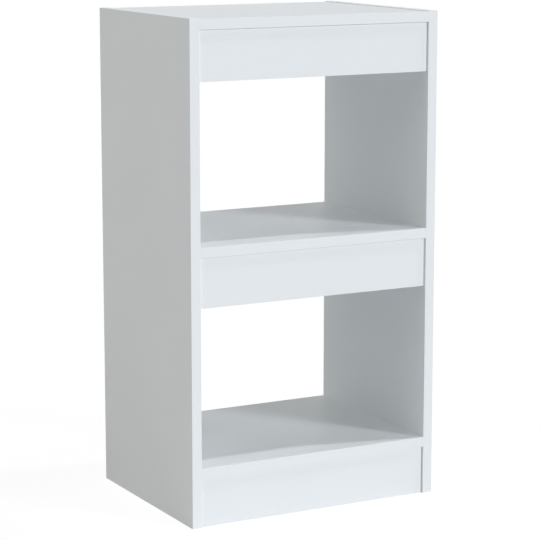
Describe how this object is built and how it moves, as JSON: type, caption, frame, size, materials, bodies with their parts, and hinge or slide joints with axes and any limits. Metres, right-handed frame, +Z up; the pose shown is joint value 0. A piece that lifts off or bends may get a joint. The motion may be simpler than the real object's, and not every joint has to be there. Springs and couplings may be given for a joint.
{
  "type": "open bookcase",
  "caption": "Open bookcase of white boards: full-height sides, a top and shelves between them, fixed front rails and a plinth, no back, held by hidden cam fittings and dowels.",
  "frame": {"origin": "on the floor, in the middle of the footprint", "axes": "+Z up, the front with its rails faces -Y, +X to the right seen from the front"},
  "size_m": [0.4, 0.3, 0.72],
  "materials": {
    "white_melamine_board": "satin white melamine on chipboard",
    "white_edge_band": "satin ABS edge band",
    "white_cap_plastic": "moulded, satin",
    "die_cast_zinc": "die-cast zinc, tumbled",
    "zinc_plated_steel": "bright zinc-plated steel",
    "beech": "raw turned beech"
  },
  "bodies": {
    "root": {"bottom_shelf": "white_melamine_board", "bottom_shelf_back_edge_band": "white_edge_band", "bottom_shelf_front_edge_band": "white_edge_band", "cam_bolts": "zinc_plated_steel", "cam_cover_caps": "white_cap_plastic", "cam_locks": "die_cast_zinc", "left_side_back_edge_band": "white_edge_band", "left_side_front_edge_band": "white_edge_band", "left_side_panel": "white_melamine_board", "left_side_top_edge_band": "white_edge_band", "middle_rail": "white_melamine_board", "middle_rail_bottom_edge_band": "white_edge_band", "middle_shelf": "white_melamine_board", "middle_shelf_back_edge_band": "white_edge_band", "middle_shelf_front_edge_band": "white_edge_band", "plinth_rail": "white_melamine_board", "right_side_back_edge_band": "white_edge_band", "right_side_front_edge_band": "white_edge_band", "right_side_panel": "white_melamine_board", "right_side_top_edge_band": "white_edge_band", "top_panel": "white_melamine_board", "top_panel_back_edge_band": "white_edge_band", "top_panel_front_edge_band": "white_edge_band", "top_rail": "white_melamine_board", "top_rail_bottom_edge_band": "white_edge_band", "wooden_dowels": "beech"}
  },
  "joints": []
}
